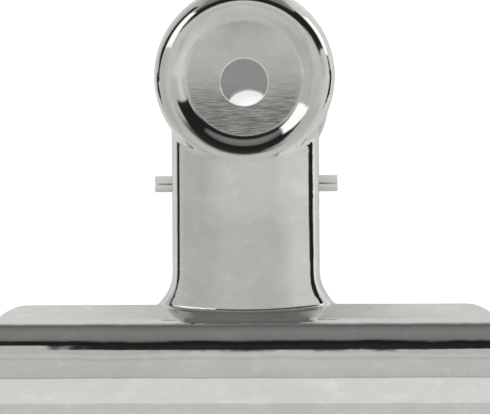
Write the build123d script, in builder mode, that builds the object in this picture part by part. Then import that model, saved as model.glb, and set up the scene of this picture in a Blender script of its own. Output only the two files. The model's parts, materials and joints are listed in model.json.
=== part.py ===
from build123d import *
from math import asin, atan2, cos, hypot, pi, radians, sin, tan
import os

os.makedirs("parts", exist_ok=True)

# A bulldog clip lying on its back: X runs across the jaws, +Y points to the handles, Z is up.
# Sizes are in millimetres. On a plate, distances count from the pivot towards the handle tip,
# and heights count outwards from the clip's middle plane.

# Sheet and jaws
sheet = 0.7
jaw_width = 75.0
jaw_top = -18.65
jaw_corner = 4.6
shoulder_start = 0.8
shoulder_angle = radians(58)
shoulder_bend = 1.2
ridge_height = 7.2
ridge_bend = 5.1
ridge_flat = 0.7
brow_bend = 9.0
upper_slope = radians(23)
middle_slope = radians(31)
lower_slope = radians(35)
upper_facet = 0.62
middle_facet = 4.2
facet_bend = 2.0
lip_length = 2.4
lip_gap = 0.2

# Neck and ears
neck_width = 22.3
neck_crown = 38.0
neck_bend = 2.4
neck_drop = 0.05
neck_flare = 5.4
flare_sink = 0.5
pad_crease = 1.2
jaw_crease = 0.7
ear_wall = 2.1
ear_gap = 0.15

# Handle pad
handle_lean = radians(11)
handle_height = 7.3
pad_reach = 14.8
pad_radius = 13.6
rim_width = 2.0
crest_bend = 3.0
rim_bend = 1.3
rim_depth = 4.0
dish_offset = 0.4
dish_wall = 3.0
dish_bend = 2.4
dish_depth = 0.54
hole_offset = 1.0
hole_radius = 3.55

# Pivot pin
pin_radius = 1.25
pin_wall = 0.55
pin_overhang = 2.8
pin_seam = 0.2
pin_seam_angle = 11
pin_clearance = 0.05

# Torsion spring
wire_radius = 0.8
coil_clearance = 0.85
coil_gap = 0.6
coil_room = 0.5
leg_length = 12.0
leg_clearance = 0.1

# Sizes that follow from these
half_front = neck_width / 2
half_rear = half_front - sheet - ear_gap
rear_pad_radius = pad_radius - sheet - ear_gap
beyond = 5 * sheet
dish_reach = pad_reach - dish_offset
dish_slope = 2 * atan2(dish_depth, dish_wall)
dish_shoulder = dish_wall / sin(dish_slope) - dish_bend
hole_reach = pad_reach - hole_offset
pin_hole = pin_radius + pin_clearance
ear_radius = pin_hole + ear_wall
coil_radius = pin_radius + coil_clearance + wire_radius

# Jaw profile, from the top of the shoulder to the end of the lip
shoulder_rise = ridge_height - shoulder_start - ridge_bend * (1 - cos(shoulder_angle))
ridge_y = jaw_top - shoulder_rise / tan(shoulder_angle) - ridge_bend * sin(shoulder_angle)
brow_y = ridge_y - ridge_flat
brow_z = ridge_height - brow_bend
ridge_start = (ridge_y + ridge_bend * tan(shoulder_angle / 2), ridge_height)
ridge_end = (brow_y - brow_bend * tan(upper_slope / 2), ridge_height)
facet_y = brow_y - brow_bend * sin(upper_slope)
facet_z = brow_z + brow_bend * cos(upper_slope)
upper_end = (facet_y - upper_facet * cos(upper_slope), facet_z - upper_facet * sin(upper_slope))
middle_y = upper_end[0] - middle_facet * cos(middle_slope)
middle_z = upper_end[1] - middle_facet * sin(middle_slope)
middle_end = (middle_y, middle_z)
seam = lip_gap / 2
lip_face = seam + sheet
lip_y = middle_y - (middle_z - lip_face) / tan(lower_slope)
jaw_end = lip_y - lip_length

# The clip rests on the rear pad's rim and the rear jaw's ridge, which tilts its middle plane.
tip_reach = dish_reach + rear_pad_radius - rim_width
tip_y = tip_reach * cos(handle_lean) + crest_bend * sin(handle_lean)
tip_z = handle_height + tip_reach * sin(handle_lean) - crest_bend * cos(handle_lean)
rest_span = hypot(tip_y - brow_y, tip_z - brow_z)
rest_tilt = atan2(tip_z - brow_z, tip_y - brow_y) - asin((brow_bend - crest_bend) / rest_span)
pivot_z = crest_bend + tip_z * cos(rest_tilt) - tip_y * sin(rest_tilt)
rear_lean = handle_lean - rest_tilt
far_reach = (pad_reach + rear_pad_radius) * cos(rear_lean)
far_tip = far_reach + handle_height * sin(rest_tilt) + rim_depth * sin(rear_lean)
far_lip = jaw_end * cos(rest_tilt) - lip_face * sin(rest_tilt)
pivot_y = -(far_tip + far_lip) / 2
pivot = Vector(0, pivot_y, pivot_z)

# Planes: each side plane has its X along the clip and its Y outwards, through the pivot
along = Vector(0, cos(rest_tilt), sin(rest_tilt))
outwards = Vector(0, -sin(rest_tilt), cos(rest_tilt))
front_side = Plane(origin=pivot, x_dir=along, z_dir=(1, 0, 0))
rear_side = Plane(origin=pivot, x_dir=along, z_dir=(-1, 0, 0))


def middle_plane(side):
    return Plane(origin=side.origin, x_dir=side.z_dir, z_dir=side.y_dir)


def handle_plane(side, reach):
    centre = side.from_local_coords((reach * cos(handle_lean), handle_height + reach * sin(handle_lean), 0))
    normal = side.y_dir * cos(handle_lean) - side.x_dir * sin(handle_lean)
    return Plane(origin=centre, x_dir=side.z_dir, z_dir=normal)


def inset_corner(before, corner, after, inset):
    """A corner of an outline, moved to the left of its direction so that both its lines move by inset."""
    first = (Vector(*corner) - Vector(*before)).normalized()
    second = (Vector(*after) - Vector(*corner)).normalized()
    left = Vector(-first.Y, first.X) + Vector(-second.Y, second.X)
    return Vector(*corner) + left * (inset / (1 + first.dot(second)))


def arc_point(centre, radius, angle):
    """A point on an arc of a section, at an angle from straight up towards the outside."""
    return (centre[0] + radius * sin(angle), centre[1] + radius * cos(angle))


def pad_form(side, radius, inset):
    """The handle pad: a shallow round dish, a rounded crest and a turned-down rim."""
    dish = handle_plane(side, dish_reach)
    section = Plane(origin=dish.origin, x_dir=dish.x_dir, z_dir=-dish.y_dir)
    crest_radius = radius - rim_width
    dish_radius = crest_radius - dish_wall
    valley = (dish_radius, dish_bend - dish_depth)
    crown = (crest_radius, -dish_shoulder)
    crest = (crest_radius, -crest_bend)
    depth = 2 * rim_depth + inset
    with BuildPart() as form:
        with BuildSketch(section):
            with BuildLine():
                floor = Line((0, -dish_depth - inset), (dish_radius, -dish_depth - inset))
                rise = ThreePointArc(
                    floor @ 1,
                    arc_point(valley, dish_bend + inset, pi - dish_slope / 2),
                    arc_point(valley, dish_bend + inset, pi - dish_slope),
                )
                top = ThreePointArc(
                    rise @ 1,
                    arc_point(crown, dish_shoulder - inset, -dish_slope / 2),
                    (crest_radius, -inset),
                )
                fall = ThreePointArc(
                    top @ 1,
                    arc_point(crest, crest_bend - inset, pi / 4),
                    arc_point(crest, crest_bend - inset, pi / 2),
                )
                Polyline(fall @ 1, ((fall @ 1).X, -depth), (0, -depth), floor @ 0)
            make_face()
        revolve(axis=Axis(dish.origin, dish.z_dir))
        with BuildSketch(handle_plane(side, pad_reach)):
            Circle(radius - inset)
        extrude(amount=depth, both=True, mode=Mode.INTERSECT)
        fillet(edges().filter_by(GeomType.BSPLINE), rim_bend - inset)
    return form.part


def neck_form(side, half, radius, inset):
    """The neck: flared into the jaw, crowned across its width, with rounded sides."""
    lower = jaw_top - flare_sink - inset
    base = half + 2 * neck_flare
    corners = [
        (half - inset, pad_reach),
        (half - inset, lower),
        (base, lower),
        (base, lower - neck_flare),
        (-base, lower - neck_flare),
        (-base, lower),
        (inset - half, lower),
        (inset - half, pad_reach),
    ]
    flare = neck_flare + inset
    crown_plane = handle_plane(side, 0)
    end_plane = Plane(origin=crown_plane.origin, x_dir=crown_plane.x_dir, z_dir=crown_plane.y_dir)
    with BuildPart() as form:
        with BuildSketch(middle_plane(side).offset(-handle_height)):
            with BuildLine():
                sides = FilletPolyline(*corners, radius=[flare, 0, 0, 0, 0, flare])
                Line(sides @ 1, sides @ 0)
            make_face()
        extrude(amount=3 * handle_height)
        with BuildSketch(end_plane):
            with Locations((0, neck_drop + neck_crown)):
                Circle(neck_crown - inset)
        extrude(amount=2 * pad_reach - jaw_top, both=True, mode=Mode.INTERSECT)
        crown = faces().filter_by(GeomType.CYLINDER).sort_by(SortBy.AREA)[-1]
        fillet(crown.edges().filter_by(GeomType.LINE).sort_by(SortBy.LENGTH)[-2:], neck_bend - inset)
        with BuildSketch(handle_plane(side, dish_reach)):
            Circle(radius - rim_width)
        extrude(amount=4 * handle_height, both=True, mode=Mode.SUBTRACT)
    return form.part


def jaw_form(side, inset):
    """The jaw: shoulder, rounded ridge, three facets and the gripping lip, with rounded top corners."""
    half = jaw_width / 2
    end = jaw_end
    width = half
    if inset:
        end = jaw_end - beyond
        width = half + beyond
    profile = [(jaw_top, -beyond), (jaw_top, shoulder_start), ridge_start, ridge_end, upper_end]
    profile += [middle_end, (lip_y, lip_face), (jaw_end, lip_face)]
    inner = [inset_corner(*profile[i - 1:i + 2], inset) for i in range(1, 7)]
    corners = [(jaw_top - inset, -beyond), *inner, (end, lip_face - inset), (end, -beyond)]
    bends = [shoulder_bend, ridge_bend, brow_bend, facet_bend, facet_bend]
    bends = [bend - inset for bend in bends] + [facet_bend + inset, 0]
    open_y = jaw_top - jaw_corner
    with BuildPart() as form:
        with BuildSketch(side):
            with BuildLine():
                surface = FilletPolyline(*corners, radius=bends)
                Line(surface @ 1, surface @ 0)
            make_face()
        extrude(amount=width, both=True)
        with BuildSketch(middle_plane(side)):
            with Locations((0, (jaw_top - inset + end) / 2)):
                RectangleRounded(2 * (half - inset), jaw_top - inset - end, jaw_corner - inset)
            with Locations((0, (open_y + end) / 2)):
                Rectangle(2 * width, open_y - end)
        extrude(amount=2 * ridge_height, both=True, mode=Mode.INTERSECT)
    return form.part


def stamped_plate(side, half, radius):
    """One plate of the clip: the pressed form, hollowed to the sheet's thickness and cut to its flanges."""
    flange_line = handle_height - rim_depth / cos(handle_lean)
    far = pad_reach + radius + beyond
    top = 3 * handle_height
    pad = handle_plane(side, pad_reach)
    pad_up = Axis(pad.origin, pad.z_dir)
    plate_up = Axis(side.origin, side.y_dir)
    trim = [
        (jaw_end - beyond, seam),
        (0, seam),
        (0, flange_line),
        (far, flange_line + far * tan(handle_lean)),
        (far, top),
        (jaw_end - beyond, top),
    ]
    with BuildPart() as stamping:
        add(pad_form(side, radius, 0))
        add(neck_form(side, half, radius, 0))
        fillet(edges(Select.NEW).filter_by_position(pad_up, -1.5 * rim_depth, top), pad_crease)
        add(jaw_form(side, 0))
        fillet(edges(Select.NEW).filter_by_position(plate_up, 0, top), jaw_crease)
        add(pad_form(side, radius, sheet), mode=Mode.SUBTRACT)
        add(neck_form(side, half, radius, sheet), mode=Mode.SUBTRACT)
        add(jaw_form(side, sheet), mode=Mode.SUBTRACT)
        with BuildSketch(side):
            with BuildLine():
                Polyline(*trim, close=True)
            make_face()
            Circle(ear_radius)
        extrude(amount=jaw_width, both=True, mode=Mode.INTERSECT)
        with BuildSketch(side):
            Circle(pin_hole)
        extrude(amount=half + beyond, both=True, mode=Mode.SUBTRACT)
        with BuildSketch(handle_plane(side, hole_reach)):
            Circle(hole_radius)
        extrude(amount=rim_depth, both=True, mode=Mode.SUBTRACT)
    return stamping.part


def coil_point(turn):
    """A point of the coil's centre line and its heading there, for an angle wound from the front leg."""
    angle = coil_start + turn
    radial = along * cos(angle) + outwards * sin(angle)
    tangent = outwards * cos(angle) - along * sin(angle)
    place = pivot + radial * coil_radius + Vector(coil_lead * (turn - coil_sweep / 2), 0, 0)
    on_leg = turn in (0, coil_sweep)
    drift = 0 if on_leg else coil_lead
    return place, (tangent * coil_radius + Vector(drift, 0, 0)).normalized()


def biarc_joint(start, start_heading, end, end_heading):
    """The point where two arcs meet that run smoothly from one place and heading to another."""
    chord = end - start
    reach = chord.dot(start_heading + end_heading)
    spread = 2 * (1 - start_heading.dot(end_heading))
    arm = ((reach**2 + spread * chord.dot(chord)) ** 0.5 - reach) / spread
    return (start + end + (start_heading - end_heading) * arm) * 0.5


with BuildPart() as front_plate:
    add(stamped_plate(front_side, half_front, pad_radius))
front_plate.part.label = "front_plate"
export_step(front_plate.part, "parts/front_plate.step")

# The rear plate is the same pressing with a narrower neck and a smaller pad, so that it sits inside
# the front plate's ears.
with BuildPart() as rear_plate:
    add(stamped_plate(rear_side, half_rear, rear_pad_radius))
rear_plate.part.label = "rear_plate"
export_step(rear_plate.part, "parts/rear_plate.step")

# The pin is rolled from sheet, so it is a tube with a seam along the side that faces up.
with BuildPart() as pivot_pin:
    with BuildSketch(front_side):
        Circle(pin_radius)
        Circle(pin_radius - pin_wall, mode=Mode.SUBTRACT)
        with Locations(Location((0, 0), pin_seam_angle)):
            Rectangle(pin_seam, 2 * pin_radius, align=(Align.CENTER, Align.MIN), mode=Mode.SUBTRACT)
    extrude(amount=half_front + pin_overhang, both=True)
pivot_pin.part.label = "pivot_pin"
export_step(pivot_pin.part, "parts/pivot_pin.step")

# The coil fills the room between the rear ears with whole turns, and half a turn more joins its legs.
# Each leg leaves the coil on a tangent and ends just inside the floor of a pad's dish.
leg_height = handle_height * cos(handle_lean) - dish_depth - sheet - wire_radius - leg_clearance
leg_rise = asin(leg_height / hypot(coil_radius, leg_length)) - atan2(coil_radius, leg_length)
leg_angle = handle_lean + leg_rise
coil_pitch = 2 * wire_radius + coil_gap
coil_width = 2 * (half_rear - sheet - coil_room - wire_radius)
coil_turns = int(coil_width / coil_pitch - 0.5)
coil_sweep = 2 * pi * coil_turns + pi - 2 * leg_angle
coil_lead = coil_pitch / (2 * pi)
coil_start = pi / 2 + leg_angle
quarters = 4 * coil_turns + 2
stations = [coil_point(coil_sweep * i / quarters) for i in range(quarters + 1)]
with BuildPart() as torsion_spring:
    with BuildLine() as wire:
        place, heading = stations[0]
        Line(place - heading * leg_length, place)
        for next_place, next_heading in stations[1:]:
            joint = biarc_joint(place, heading, next_place, next_heading)
            arc = TangentArc(place, joint, tangent=heading)
            TangentArc(joint, next_place, tangent=arc % 1)
            place, heading = next_place, next_heading
        Line(place, place + heading * leg_length)
    with BuildSketch(Plane(origin=wire.line @ 0, z_dir=wire.line % 0)):
        Circle(wire_radius)
    sweep(path=wire.line)
torsion_spring.part.label = "torsion_spring"
export_step(torsion_spring.part, "parts/torsion_spring.step")

samples_per_turn = 40
samples = samples_per_turn * coil_turns
centre_line = wire.wire()
points = [centre_line @ (i / samples) for i in range(samples + 1)]
apart = int(pi * coil_radius / centre_line.length * samples)
pairs = [(points[i], points[j]) for i in range(samples) for j in range(i + apart, samples + 1)]
wire_gap = min((one - other).length for one, other in pairs) - 2 * wire_radius
print("least gap of the spring's wire to itself:", round(wire_gap, 3), "mm")
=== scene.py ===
"""Looks of a nickel plated bulldog clip: its finishes, its wound spring and a studio stage."""

import json
import math

import bmesh
import bpy
from bpy.props import FloatProperty, FloatVectorProperty, IntProperty, PointerProperty
from mathutils import Matrix, Vector


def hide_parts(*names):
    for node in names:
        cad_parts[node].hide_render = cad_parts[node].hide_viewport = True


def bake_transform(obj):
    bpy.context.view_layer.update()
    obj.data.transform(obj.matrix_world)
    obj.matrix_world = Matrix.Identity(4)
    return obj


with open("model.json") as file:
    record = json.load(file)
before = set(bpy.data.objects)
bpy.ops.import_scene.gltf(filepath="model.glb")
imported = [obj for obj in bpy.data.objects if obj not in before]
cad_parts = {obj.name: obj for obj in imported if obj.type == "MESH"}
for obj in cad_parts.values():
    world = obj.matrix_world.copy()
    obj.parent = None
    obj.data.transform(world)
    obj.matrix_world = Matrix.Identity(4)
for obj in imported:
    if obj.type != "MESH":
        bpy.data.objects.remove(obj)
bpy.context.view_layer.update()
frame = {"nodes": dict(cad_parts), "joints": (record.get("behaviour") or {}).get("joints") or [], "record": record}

bl_info = {
    "name": "Bulldog clip",
    "version": (1, 0, 0),
    "blender": (4, 5, 0),
    "location": "3D View > Sidebar > Clip",
    "description": "Finishes, spring and studio stage of a nickel plated bulldog clip",
    "category": "Object",
}

# The clip's own directions, from the hinge and from the holes in the two pads
PIVOT = Vector(frame["joints"][0]["pos_m"])
MOUNTS = {mount["name"]: mount for mount in frame["record"]["mounts"]}
FRONT_NORMAL = Vector(MOUNTS["front_hang_hole"]["axis"])
REAR_NORMAL = Vector(MOUNTS["rear_hang_hole"]["axis"])
ACROSS = Vector((1, 0, 0))
OUTWARDS = (FRONT_NORMAL - REAR_NORMAL).normalized()
ALONG = OUTWARDS.cross(ACROSS)
HANDLE_LEAN = FRONT_NORMAL.angle(OUTWARDS)

# The dish in a pad: its radius, half the width of its soft edge, and its middle above the hole's
DISH_RADIUS = 0.0086
DISH_EDGE = 0.0003
DISH_OFFSET = 0.0006
# Width of the painted highlight round a hole, a ring of lighter base colour at its cut edge
HOLE_HIGHLIGHT = 0.00016
# Heights from the hole between which a dish's floor goes from darker to its plain colour
LOWER_DISH_BAND = (-0.007, 0.007)
# Depths about the middle of the sheet between which its inside ends, where the pads get painted light
SHEET_BAND = (-0.0002, 0.0002)
# Places along the clip from its pivot between which the waves die down, and by how much
EVEN_BAND = (-0.01, 0.004)
EVEN_SHARE = 0.8

# Noises in the metal: scale, or a scale along each axis, then detail and roughness
BLOTCHES = (90.0, 4.0, 0.6)
GRAIN = ((110.0, 1500.0, 1500.0), 3.0, 0.5)
SPECKS = (1700.0, 1.0, 0.5)
SMEARS = ((90.0, 320.0, 320.0), 4.0, 0.6)
SCUFFS = ((260.0, 420.0, 420.0), 6.0, 0.7)
RUBBING = ((420.0, 8000.0, 8000.0), 3.0, 0.65)
SWELLS = (75.0, 1.0, 0.5)
RIPPLES = (320.0, 1.0, 0.5)
WIRE_GRAIN = (2600.0, 4.0, 0.6)
WIRE_STAINS = (400.0, 2.0, 0.5)
NOISE_MIDDLE = 0.5
# Values of those noises between which their marks come up
BLOTCH_BAND = (0.35, 0.7)
GRAIN_BAND = (0.45, 0.75)
SPECK_BAND = (0.74, 0.78)
SCUFF_BAND = (0.48, 0.74)
RUBBING_BAND = (0.42, 0.62)
STAIN_BAND = (0.35, 0.75)
# Strengths of those marks: grain is a share of the blotches, and ripples are one of the swells
GRAIN_SHARE = 0.2
RIPPLE_SHARE = 0.12
SPECK_SHADE = 0.2
STAIN_SHADE = 0.35
WIRE_GRAIN_DEPTH = 0.000004
WIRE_GRAIN_DULLNESS = 0.2

WHITE = (1.0, 1.0, 1.0, 1.0)
# Colour that tarnish, specks, rubbing lines and the darker lower dish go towards
DARKENING_COLOR = (0.3, 0.295, 0.28, 1.0)
STAIN_COLOR = (0.35, 0.33, 0.31, 1.0)
FLOOR_COLOR = (0.86, 0.86, 0.86, 1.0)
BEVEL_SAMPLES = 4
# Places of the two colours and of the result among a Mix node's sockets
MIX_FIRST = 6
MIX_SECOND = 7
MIX_RESULT = 2

# The spring's legs: rings along each one, and shares of the wire's radius that round its end
LEG_STEPS = 8
WIRE_END = ((0.55, 0.0), (0.85, 0.08), (1.0, 0.25))

# Studio sky that the metal reflects, in degrees. Over the clip its levels go by the tilt, which is
# the angle from straight up towards +Y
SKY_LEVELS = (
    (-90, 0.73), (-68.2, 0.73), (-67.6, 0.5), (-67, 0.92), (-58, 0.92), (-56.5, 0.7), (-54, 0.25),
    (-51.5, 0.6), (-48, 0.66), (-25, 0.7), (-22, 0.68), (-20, 0.625), (-17.5, 0.62), (-15, 0.71),
    (-14, 0.72), (-10.5, 0.71), (-9.2, 0.62), (-8, 0.3), (-6.5, 0.03), (10, 0.015), (13, 0.16),
    (18, 0.25), (30, 0.275), (45, 0.285), (52, 0.25), (58, 0.23), (64, 0.19), (68, 0.15),
    (72, 0.19), (76, 0.4), (82, 0.8), (90, 0.9),
)
# Levels by the tilt to the left and right, and the side angles where they start and are full
OUTER_LEVELS = ((-90, 0.73), (-48, 0.66), (64, 0.66), (90, 0.9))
OUTER_BAND = (16, 24)
# Shares of those levels by the side angle, towards +X
SIDE_SHARES = (
    (-90, 1.0), (-40, 1.0), (-23, 0.87), (-12, 1.0), (12, 1.0), (24, 1.24), (70, 1.3),
    (78, 1.6), (90, 1.6),
)
# The tilt that a flat pad reflects, about which rings and turns are counted
PAD_TILT = -13.5
LAMP_LEVEL = 1.5
CARD_LEVEL = 0.02
# Steps that thin the jaw's dark band at its sides: the tilt each one reaches, and where it starts
STEP_LEVEL = 0.64
STEP_FOOT = -10.5
STEP_END = 24
STEPS = ((-5.5, 4), (-4, 6.5), (-2.5, 9))
# Those steps, lamps and dark cards: a level, and the angles that each one spans
SKY_PATCHES = (
    *((STEP_LEVEL, {"tilt": (STEP_FOOT, top), "side": (-STEP_END, -near)}) for top, near in STEPS),
    *((STEP_LEVEL, {"tilt": (STEP_FOOT, top), "side": (near, STEP_END)}) for top, near in STEPS),
    (CARD_LEVEL, {"ring": (14, 42), "turn": (29, 60)}),
    (LAMP_LEVEL, {"ring": (12, 42), "turn": (125, 151), "side": (-60, -15)}),
    (CARD_LEVEL, {"ring": (45, 60), "turn": (118, 175)}),
    (LAMP_LEVEL, {"ring": (45, 62), "turn": (25, 55)}),
    (CARD_LEVEL, {"tilt": (-34, 8), "side": (43, 73)}),
    (CARD_LEVEL, {"tilt": (-40, 8), "side": (-80, -60)}),
)
# Half the width of a patch's soft edge
PATCH_EDGE = 1.0
# The sky's dome, in metres: its radius, its lowest edge, and how often its mesh is divided
SKY_RADIUS = 0.6
SKY_FOOT = -0.05
SKY_DIVISIONS = 5

# The rest of the stage: the floor's half width and its drop below the clip, the room's level where
# metal reflects it, and the key lamp's size and place
FLOOR_REACH = 3
FLOOR_DROP = 0.00002
ROOM_SHINE = 0.82
KEY_WIDTH = 0.12
KEY_LENGTH = 0.2
KEY_PLACE = (-0.32, 0.12, 0.43)


class ClipFinish(bpy.types.PropertyGroup):
    """Colours and surface detail of the metal."""

    nickel_color: FloatVectorProperty(
        name="Nickel colour", description="Colour of the bright plate", subtype="COLOR",
        default=(0.70, 0.69, 0.665), min=0, max=1)
    # Lighter colour for real scuffs, for painted light on the pads' inside faces and for a painted highlight round
    # the holes
    scuff_and_painted_light_color: FloatVectorProperty(
        name="Bright colour",
        description="Colour of the plate inside the pads, at the holes and in scuffs",
        subtype="COLOR", default=(0.96, 0.955, 0.94), min=0, max=1)
    pin_color: FloatVectorProperty(
        name="Pin colour", description="Colour of the duller pin", subtype="COLOR",
        default=(0.88, 0.87, 0.85), min=0, max=1)
    nickel_roughness: FloatProperty(
        name="Nickel roughness", description="Roughness of the clean plate", subtype="FACTOR",
        default=0.05, min=0, max=1)
    smear: FloatProperty(
        name="Smears", description="How much rubbing and fingermarks change the roughness",
        subtype="FACTOR", default=0.05, min=0, max=1)
    tarnish: FloatProperty(
        name="Tarnish", description="How much the plate's colour varies", subtype="FACTOR",
        default=0.09, min=0, max=1)
    scuff: FloatProperty(
        name="Scuffs", description="How much soft scuffs lighten the plate", subtype="FACTOR",
        default=0.3, min=0, max=1)
    edge_radius: FloatProperty(
        name="Edge radius", description="Rounding of the sheet's cut edges", unit="LENGTH",
        default=0.0002, min=0)
    rub_shade: FloatProperty(
        name="Rubbing shade", description="How much the rubbing lines darken the dish",
        subtype="FACTOR", default=0.75, min=0, max=1)
    # How much darker a dish's floor gets towards the bottom
    lower_dish_shade: FloatProperty(
        name="Worn shade", description="How much darker the rubbed half of a dish is",
        subtype="FACTOR", default=0.6, min=0, max=1)
    rub_depth: FloatProperty(
        name="Rubbing depth", description="Depth of the rubbing lines in the pads' dishes",
        unit="LENGTH", default=0.0000012, min=0)
    wave_depth: FloatProperty(
        name="Wave depth", description="Depth of the sheet's slight unevenness", unit="LENGTH",
        default=0.0003, min=0)
    pin_roughness: FloatProperty(
        name="Pin roughness", description="Roughness of the duller pin", subtype="FACTOR",
        default=0.6, min=0, max=1)
    pin_metal: FloatProperty(
        name="Pin metal", description="How metallic the duller pin is", subtype="FACTOR",
        default=0.4, min=0, max=1)
    wire_color: FloatVectorProperty(
        name="Wire colour", description="Colour of the spring wire", subtype="COLOR",
        default=(0.46, 0.455, 0.45), min=0, max=1)
    wire_roughness: FloatProperty(
        name="Wire roughness", description="Roughness of the drawn wire", subtype="FACTOR",
        default=0.3, min=0, max=1)


class ClipSpring(bpy.types.PropertyGroup):
    """Sizes of the torsion spring."""

    wire_radius: FloatProperty(
        name="Wire radius", description="Radius of the spring wire", unit="LENGTH", default=0.0008)
    coil_radius: FloatProperty(
        name="Coil radius", description="From the pivot to the wire's centre", unit="LENGTH",
        default=0.0029)
    coil_pitch: FloatProperty(
        name="Coil pitch", description="From one turn to the next", unit="LENGTH", default=0.0022)
    coil_turns: IntProperty(name="Turns", description="Whole turns of the coil", default=7)
    leg_length: FloatProperty(
        name="Leg length", description="Straight length of each leg", unit="LENGTH", default=0.012)
    leg_height: FloatProperty(
        name="Leg height", description="From the pivot to a leg's end, square to the pad",
        unit="LENGTH", default=0.0050259)
    ring_sides: IntProperty(name="Sides", description="Sides of the wire's section", default=20)
    turn_steps: IntProperty(name="Steps", description="Rings in one turn of the coil", default=40)


class ClipStage(bpy.types.PropertyGroup):
    """Camera, floor and light."""

    camera_tilt: FloatProperty(
        name="Camera tilt", description="From the clip's face towards the jaws", subtype="ANGLE",
        default=math.radians(10))
    camera_side: FloatProperty(
        name="Camera side", description="From the clip's face towards +X", subtype="ANGLE",
        default=math.radians(2))
    camera_distance: FloatProperty(
        name="Camera distance", description="From the camera to the point it looks at",
        unit="LENGTH", default=0.28)
    look_below: FloatProperty(
        name="Looks below pivot", description="How far below the pin the camera looks",
        unit="LENGTH", default=0.00363)
    look_left: FloatProperty(
        name="Looks left", description="How far to the left of the clip's middle the camera looks",
        unit="LENGTH", default=0.0002)
    lens: FloatProperty(
        name="Lens", description="Focal length in millimetres", default=134.5)
    floor_lift: FloatProperty(
        name="Floor lift", description="White added to the floor where the camera sees it",
        default=0.66)
    floor_shine: FloatProperty(
        name="Floor shine", description="White added to the floor where the metal reflects it",
        default=0.15)
    world_level: FloatProperty(
        name="Room level", description="Light of the room on dull surfaces", default=0.75)
    key_power: FloatProperty(
        name="Key power", description="Power of the key lamp", unit="POWER", default=0.35)


class Socket:
    """An output socket that takes part in arithmetic: each operation adds a Math node."""

    def __init__(self, finish, output):
        self.finish = finish
        self.output = output

    def math(self, operation, first, second):
        return self.finish.node("Math", {"operation": operation}, {0: first, 1: second})

    def __add__(self, other):
        return self.math("ADD", self, other)

    def __radd__(self, other):
        return self.math("ADD", other, self)

    def __sub__(self, other):
        return self.math("SUBTRACT", self, other)

    def __rsub__(self, other):
        return self.math("SUBTRACT", other, self)

    def __mul__(self, other):
        return self.math("MULTIPLY", self, other)

    def __rmul__(self, other):
        return self.math("MULTIPLY", other, self)

    def __truediv__(self, other):
        return self.math("DIVIDE", self, other)

    def __pow__(self, other):
        return self.math("POWER", self, other)


class Finish:
    """A node tree under construction, of a material or of the world."""

    def __init__(self, tree):
        self.tree = tree
        tree.nodes.clear()

    def node(self, kind, settings=None, sockets=None, output=0):
        """Adds one node: its settings and a ramp's stops first, then its sockets' values or links."""
        made = self.tree.nodes.new("ShaderNode" + kind)
        for name, value in (settings or {}).items():
            if name == "stops":
                self.set_stops(made.color_ramp.elements, value)
            else:
                setattr(made, name, value)
        for name, value in (sockets or {}).items():
            if isinstance(value, Socket):
                self.tree.links.new(value.output, made.inputs[name])
            else:
                made.inputs[name].default_value = value
        return Socket(self, made.outputs[output]) if made.outputs else made

    def set_stops(self, stops, levels):
        """Gives a ramp its grey levels at rising places from 0 to 1."""
        while len(stops) < len(levels):
            stops.new(1.0)
        for stop, (place, level) in zip(stops, levels):
            stop.position = place
            stop.color = (level, level, level, 1.0)

    def band(self, value, low, high):
        """0 below low, 1 above high and smooth between them."""
        limits = {"Value": value, "From Min": low, "From Max": high}
        return self.node("MapRange", {"interpolation_type": "SMOOTHSTEP"}, limits)

    def noise(self, place, scale, detail, roughness):
        """Noise of one scale, or stretched by a scale along each axis."""
        if isinstance(scale, tuple):
            place = self.node("VectorMath", {"operation": "MULTIPLY"}, {0: place, 1: scale})
            scale = 1.0
        sockets = {"Vector": place, "Scale": scale, "Detail": detail, "Roughness": roughness}
        return self.node("TexNoise", None, sockets, "Fac")

    def mix(self, factor, first, second, blend="MIX"):
        """Mixes two colours."""
        settings = {"data_type": "RGBA", "blend_type": blend}
        sockets = {"Factor": factor, MIX_FIRST: first, MIX_SECOND: second}
        return self.node("Mix", settings, sockets, MIX_RESULT)

    def bump(self, height, normal=None):
        """Bumps of a height in metres, on a given normal or on the surface's own."""
        sockets = {"Strength": 1.0, "Distance": 1.0, "Height": height}
        if normal is not None:
            sockets["Normal"] = normal
        return self.node("Bump", None, sockets)

    def distance_along(self, place, point, direction):
        """How far place lies from point along a direction."""
        vectors = {0: place, 1: direction}
        along = self.node("VectorMath", {"operation": "DOT_PRODUCT"}, vectors, "Value")
        return along - Vector(point).dot(Vector(direction))

    def length(self, first, second):
        """Length of a vector from its two parts."""
        vector = self.node("CombineXYZ", None, {"X": first, "Y": second})
        return self.node("VectorMath", {"operation": "LENGTH"}, {0: vector}, "Value")

    def output(self, shader):
        self.node("OutputMaterial", None, {"Surface": shader})


def new_material(name):
    """A new material and the finish that builds it."""
    material = bpy.data.materials.new(name)
    material.use_nodes = True
    return material, Finish(material.node_tree)


def new_object(name, data):
    """A new object in the scene."""
    made = bpy.data.objects.new(name, data)
    bpy.context.scene.collection.objects.link(made)
    return made


def new_mesh(name, made):
    """A mesh from a finished bmesh."""
    mesh = bpy.data.meshes.new(name)
    made.to_mesh(mesh)
    made.free()
    return mesh


def dress(node, material):
    """Gives a CAD node its finish."""
    data = frame["nodes"][node].data
    data.materials.clear()
    data.materials.append(material)


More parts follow.
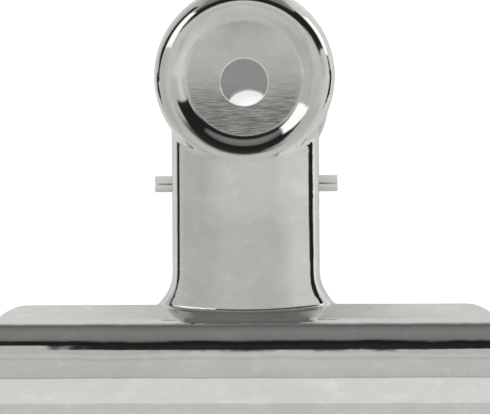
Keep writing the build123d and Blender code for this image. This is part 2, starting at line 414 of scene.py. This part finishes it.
def pad_masks(finish, place, mount):
    """Where a pad has its dish's floor, the floor's darker lower half, its inside, which gets painted light, and
    its hole's edge, which gets a painted highlight.
    """
    hole = mount["pos_m"]
    radius = mount["dims"]["r_mm"] / 1000
    normal = Vector(mount["axis"])
    up = normal.cross(ACROSS) if normal.z > 0 else ACROSS.cross(normal)
    lift = finish.distance_along(place, hole, up)
    side = finish.distance_along(place, hole, ACROSS)
    reach = finish.length(lift - DISH_OFFSET, side)
    floor = 1 - finish.band(reach, DISH_RADIUS - DISH_EDGE, DISH_RADIUS + DISH_EDGE)
    # The dish's floor gets darker towards the bottom
    lower_dish = (1 - finish.band(lift, *LOWER_DISH_BAND)) * floor
    # Painted light: the pad's inside face, in the shade between the plates, gets a lighter colour
    inside = 1 - finish.band(finish.distance_along(place, hole, normal), *SHEET_BAND)
    # Painted highlight: a ring of lighter colour round the hole's cut edge
    edge = 1 - finish.band(finish.length(lift, side), radius + HOLE_HIGHLIGHT / 2, radius + HOLE_HIGHLIGHT)
    return floor, lower_dish, inside, edge


def nickel(name, look, plate_color, metal, dullness, mount=None):
    """Nickel plate: slight waves, smears, scuffs and specks, and in a plate's pad a dish with rubbing lines,
    darker towards the bottom, with painted light on its inside and a painted highlight round its hole.
    """
    material, finish = new_material(name)
    place = finish.node("TexCoord", None, None, "Object")
    blotch = finish.band(finish.noise(place, *BLOTCHES), *BLOTCH_BAND)
    grain = finish.band(finish.noise(place, *GRAIN), *GRAIN_BAND)
    speck = finish.band(finish.noise(place, *SPECKS), *SPECK_BAND)
    scuff = finish.band(finish.noise(place, *SCUFFS), *SCUFF_BAND)
    smear = finish.noise(place, *SMEARS)
    waves = finish.noise(place, *SWELLS) + finish.noise(place, *RIPPLES) * RIPPLE_SHARE
    evenness = finish.band(finish.distance_along(place, PIVOT, ALONG), *EVEN_BAND)
    height = waves * (1 - evenness * EVEN_SHARE) * look.wave_depth
    shade = blotch * look.tarnish + grain * look.tarnish * GRAIN_SHARE + speck * SPECK_SHADE
    roughness = dullness + (smear - NOISE_MIDDLE) * look.smear
    # Lighter colour for scuffs, and for the painted light and painted highlight in the pads
    bright = (*look.scuff_and_painted_light_color, 1.0)
    clean = finish.mix(scuff * look.scuff, (*plate_color, 1.0), bright)
    if mount is not None:
        floor, lower_dish, inside, edge = pad_masks(finish, place, mount)
        rub = finish.noise(place, *RUBBING)
        rubbed = lower_dish * lower_dish
        height = height + rub * rubbed * look.rub_depth
        shade = shade + finish.band(rub, *RUBBING_BAND) * rubbed * look.rub_shade
        # Darker towards the bottom of the dish, and no tarnish in the painted highlight round the hole
        shade = (shade + lower_dish * look.lower_dish_shade) * (1 - edge)
        # Painted light on the pad's inside face and a painted highlight round its hole: the lighter colour on the
        # dish's floor
        clean = finish.mix(floor * (inside + edge - inside * edge), clean, bright)
    edges = finish.node("Bevel", {"samples": BEVEL_SAMPLES}, {"Radius": look.edge_radius})
    shader = finish.node("BsdfPrincipled", None, {
        "Base Color": finish.mix(shade, clean, DARKENING_COLOR, "MULTIPLY"), "Metallic": metal,
        "Roughness": roughness, "Normal": finish.bump(height, edges)})
    finish.output(shader)
    return material


def spring_steel(look):
    """Drawn spring wire: grey, finely grained and slightly stained."""
    material, finish = new_material("spring_steel")
    place = finish.node("TexCoord", None, None, "Object")
    grain = finish.noise(place, *WIRE_GRAIN)
    stain = finish.band(finish.noise(place, *WIRE_STAINS), *STAIN_BAND) * STAIN_SHADE
    shader = finish.node("BsdfPrincipled", None, {
        "Base Color": finish.mix(stain, (*look.wire_color, 1.0), STAIN_COLOR, "MULTIPLY"),
        "Metallic": 1.0,
        "Roughness": look.wire_roughness + (grain - NOISE_MIDDLE) * WIRE_GRAIN_DULLNESS,
        "Normal": finish.bump(grain * WIRE_GRAIN_DEPTH)})
    finish.output(shader)
    return material


class CLIP_OT_plates(bpy.types.Operator):
    """Gives both pressed plates their nickel finish"""

    bl_idname = "clip.plates"
    bl_label = "Plates"

    def execute(self, context):
        look = context.scene.clip_finish
        for side in ("front", "rear"):
            dress(side + "_plate", nickel(
                side + "_nickel", look, look.nickel_color, metal=1.0,
                dullness=look.nickel_roughness, mount=MOUNTS[side + "_hang_hole"]))
        return {"FINISHED"}


class CLIP_OT_pin(bpy.types.Operator):
    """Gives the rolled pivot pin its nickel finish"""

    bl_idname = "clip.pin"
    bl_label = "Pivot pin"

    def execute(self, context):
        look = context.scene.clip_finish
        dress("pivot_pin", nickel(
            "pin_nickel", look, look.pin_color, metal=look.pin_metal, dullness=look.pin_roughness))
        return {"FINISHED"}


def spring_line(size):
    """Points and headings along the wire's centre, from the front leg's end to the rear leg's."""
    reach = math.hypot(size.coil_radius, size.leg_length)
    rise = math.asin(size.leg_height / reach) - math.atan2(size.coil_radius, size.leg_length)
    leg_angle = HANDLE_LEAN + rise
    sweep = math.tau * size.coil_turns + math.pi - 2 * leg_angle
    start = math.pi / 2 + leg_angle
    lead = size.coil_pitch / math.tau
    steps = round(size.turn_steps * sweep / math.tau)
    # The wire leaves each leg square to the pivot, and takes up its lead over a quarter turn
    ease = math.pi / 2
    line = []
    for i in range(steps + 1):
        turn = sweep * i / steps
        from_leg = min(turn, sweep - turn)
        drift = lead * min(1.0, from_leg / ease)
        slack = lead * max(0.0, ease - from_leg) ** 2 / (2 * ease)
        if turn > sweep / 2:
            slack = -slack
        angle = start + turn
        radial = ALONG * math.cos(angle) + OUTWARDS * math.sin(angle)
        tangent = OUTWARDS * math.cos(angle) - ALONG * math.sin(angle)
        place = PIVOT + radial * size.coil_radius + ACROSS * (lead * (turn - sweep / 2) + slack)
        line.append((place, (tangent * size.coil_radius + ACROSS * drift).normalized()))
    first, heading = line[0]
    last, tail = line[-1]
    front = [(first - heading * size.leg_length * (1 - i / LEG_STEPS), heading)
             for i in range(LEG_STEPS)]
    rear = [(last + tail * size.leg_length * (i + 1) / LEG_STEPS, tail) for i in range(LEG_STEPS)]
    return front + line + rear


def wire_tube(name, line, radius, sides):
    """A tube of rings square to the line, with its cut ends slightly rounded."""
    first, heading = line[0]
    last, tail = line[-1]
    rings = [(first + heading * radius * back, heading, radius * share) for share, back in WIRE_END]
    rings += [(place, along, radius) for place, along in line[1:-1]]
    rings += [(last - tail * radius * back, tail, radius * share)
              for share, back in reversed(WIRE_END)]
    turns = [math.tau * i / sides for i in range(sides)]
    made = bmesh.new()
    loops = []
    for place, along, size in rings:
        inwards = (PIVOT - place).cross(ACROSS).cross(ACROSS).normalized()
        inwards = (inwards - along * inwards.dot(along)).normalized()
        level = along.cross(inwards)
        spokes = [inwards * math.cos(turn) + level * math.sin(turn) for turn in turns]
        loops.append([made.verts.new(place + spoke * size) for spoke in spokes])
    for here, there in zip(loops, loops[1:]):
        for i in range(sides):
            j = (i + 1) % sides
            made.faces.new((here[i], here[j], there[j], there[i])).smooth = True
    made.faces.new(loops[0])
    made.faces.new(loops[-1])
    bmesh.ops.recalc_face_normals(made, faces=made.faces)
    return new_mesh(name, made)


class CLIP_OT_spring(bpy.types.Operator):
    """Winds the torsion spring between the two plates"""

    bl_idname = "clip.spring"
    bl_label = "Torsion spring"

    def execute(self, context):
        size = context.scene.clip_spring
        line = spring_line(size)
        mesh = wire_tube("wound_spring", line, size.wire_radius, size.ring_sides)
        mesh.materials.append(spring_steel(context.scene.clip_finish))
        spring = new_object("wound_spring", mesh)
        inside = ACROSS * size.wire_radius
        line[0][0] + inside
        line[-1][0] - inside
        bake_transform(spring)
        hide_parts("torsion_spring")
        return {"FINISHED"}


def level_ramp(finish, angle, levels):
    """A level for each angle in degrees, even between the named ones."""
    low, high = levels[0][0], levels[-1][0]
    share = finish.node("MapRange", None, {"Value": angle, "From Min": low, "From Max": high})
    stops = [((named - low) / (high - low), level) for named, level in levels]
    return finish.node("ValToRGB", {"stops": stops}, {"Fac": share})


def sky_glow():
    """Light of the studio sky: bands from front to back, side shares and patches."""
    material, finish = new_material("studio_sky")
    place = finish.node("TexCoord", None, None, "Object")
    x, y, z = (finish.node("SeparateXYZ", None, {"Vector": place}, axis) for axis in "XYZ")
    degree = math.degrees(1)
    tilt = finish.node("Math", {"operation": "ARCTAN2"}, {0: y, 1: z}) * degree
    side = finish.node("Math", {"operation": "ARCSINE"}, {0: x / SKY_RADIUS}) * degree
    rise = tilt - PAD_TILT
    turn = finish.node("Math", {"operation": "ARCTAN2"}, {0: rise, 1: side}) * degree
    angles = {"tilt": tilt, "side": side, "ring": (side * side + rise * rise) ** 0.5, "turn": turn}
    outer = finish.band(finish.node("Math", {"operation": "ABSOLUTE"}, {0: side}), *OUTER_BAND)
    middle = level_ramp(finish, tilt, SKY_LEVELS)
    level = middle + (level_ramp(finish, tilt, OUTER_LEVELS) - middle) * outer
    level = level * level_ramp(finish, side, SIDE_SHARES)
    for patch, spans in SKY_PATCHES:
        share = 1.0
        for name, (low, high) in spans.items():
            share = share * finish.band(angles[name], low - PATCH_EDGE, low + PATCH_EDGE)
            share = share * (1 - finish.band(angles[name], high - PATCH_EDGE, high + PATCH_EDGE))
        level = level + (patch - level) * share
    finish.output(finish.node("Emission", None, {"Color": level, "Strength": 1.0}))
    return material


def studio_sky():
    """A dome over the clip, which only reflections show."""
    made = bmesh.new()
    bmesh.ops.create_icosphere(made, subdivisions=SKY_DIVISIONS, radius=SKY_RADIUS)
    low = [vert for vert in made.verts if vert.co.z < SKY_FOOT]
    bmesh.ops.delete(made, geom=low, context="VERTS")
    mesh = new_mesh("studio_sky", made)
    mesh.materials.append(sky_glow())
    dome = new_object("studio_sky", mesh)
    dome.visible_camera = False
    dome.visible_diffuse = False
    dome.visible_shadow = False
    dome.visible_transmission = False


def floor_paint(lift, shine):
    """Pale paint that the camera sees as white and that keeps the clip's shadow."""
    material, finish = new_material("white_floor")
    camera = finish.node("LightPath", None, None, "Is Camera Ray")
    glossy = finish.node("LightPath", None, None, "Is Glossy Ray")
    through = finish.node("LightPath", None, None, "Is Transmission Ray")
    pale = finish.node("BsdfDiffuse", None, {"Color": FLOOR_COLOR})
    white = finish.node("Emission", None, {
        "Color": WHITE, "Strength": (camera + through) * lift + glossy * shine})
    finish.output(finish.node("AddShader", None, {0: pale, 1: white}))
    return material


def white_floor(paint):
    """A level sheet just below the clip."""
    signs = ((-1, -1), (1, -1), (1, 1), (-1, 1))
    corners = [(x * FLOOR_REACH, y * FLOOR_REACH, -FLOOR_DROP) for x, y in signs]
    mesh = bpy.data.meshes.new("floor")
    mesh.from_pydata(corners, [], [(0, 1, 2, 3)])
    mesh.materials.append(paint)
    sheet = new_object("floor", mesh)


def room(level):
    """White to the camera, nearly white in reflections, and an even light on dull surfaces."""
    world = bpy.data.worlds.new("room")
    bpy.context.scene.world = world
    world.use_nodes = True
    finish = Finish(world.node_tree)
    camera = finish.node("LightPath", None, None, "Is Camera Ray")
    glossy = finish.node("LightPath", None, None, "Is Glossy Ray")
    strength = level + camera * (1.0 - level) + glossy * (ROOM_SHINE - level)
    light = finish.node("Background", None, {"Color": WHITE, "Strength": strength})
    finish.node("OutputWorld", None, {"Surface": light})


def key_lamp(power):
    """A soft lamp to the upper left, for the clip's shadow."""
    data = bpy.data.lights.new("key_lamp", "AREA")
    data.shape = "RECTANGLE"
    data.size = KEY_WIDTH
    data.size_y = KEY_LENGTH
    data.energy = power
    lamp = new_object("key_lamp", data)
    lamp.visible_glossy = False
    lamp.location = KEY_PLACE
    lamp.rotation_euler = lamp.location.to_track_quat("Z", "Y").to_euler()


def camera_view(stage):
    """A camera that faces the clip, tilted towards the jaws."""
    data = bpy.data.cameras.new("camera")
    data.lens = stage.lens
    camera = new_object("camera", data)
    level = OUTWARDS * math.cos(stage.camera_tilt) - ALONG * math.sin(stage.camera_tilt)
    towards = level * math.cos(stage.camera_side) + ACROSS * math.sin(stage.camera_side)
    target = PIVOT - ALONG * stage.look_below - ACROSS * stage.look_left
    camera.location = target + towards * stage.camera_distance
    right = ALONG.cross(towards).normalized()
    camera.rotation_euler = Matrix((right, towards.cross(right), towards)).transposed().to_euler()
    bpy.context.scene.camera = camera


class CLIP_OT_stage(bpy.types.Operator):
    """Sets the floor, the studio sky, the light and the camera"""

    bl_idname = "clip.stage"
    bl_label = "Stage"

    def execute(self, context):
        stage = context.scene.clip_stage
        context.scene.view_settings.view_transform = "Standard"
        white_floor(floor_paint(stage.floor_lift, stage.floor_shine))
        studio_sky()
        room(stage.world_level)
        key_lamp(stage.key_power)
        camera_view(stage)
        return {"FINISHED"}


class VIEW3D_PT_clip(bpy.types.Panel):
    """Lists the clip's pieces and settings"""

    bl_label = "Bulldog clip"
    bl_space_type = "VIEW_3D"
    bl_region_type = "UI"
    bl_category = "Clip"

    def draw(self, context):
        layout = self.layout
        for operator in OPERATORS:
            layout.operator(operator.bl_idname)
        for name, group in GROUPS.items():
            settings = getattr(context.scene, name)
            column = layout.column(align=True)
            for setting in group.__annotations__:
                column.prop(settings, setting)


OPERATORS = (CLIP_OT_plates, CLIP_OT_pin, CLIP_OT_spring, CLIP_OT_stage)
GROUPS = {"clip_finish": ClipFinish, "clip_spring": ClipSpring, "clip_stage": ClipStage}
CLASSES = (*GROUPS.values(), *OPERATORS, VIEW3D_PT_clip)


def register():
    for part in CLASSES:
        bpy.utils.register_class(part)
    for name, group in GROUPS.items():
        setattr(bpy.types.Scene, name, PointerProperty(type=group))


def unregister():
    for name in GROUPS:
        delattr(bpy.types.Scene, name)
    for part in reversed(CLASSES):
        bpy.utils.unregister_class(part)


def main():
    register()
    bpy.ops.clip.plates()
    bpy.ops.clip.pin()
    bpy.ops.clip.spring()
    bpy.ops.clip.stage()


if __name__ == "__main__":
    main()
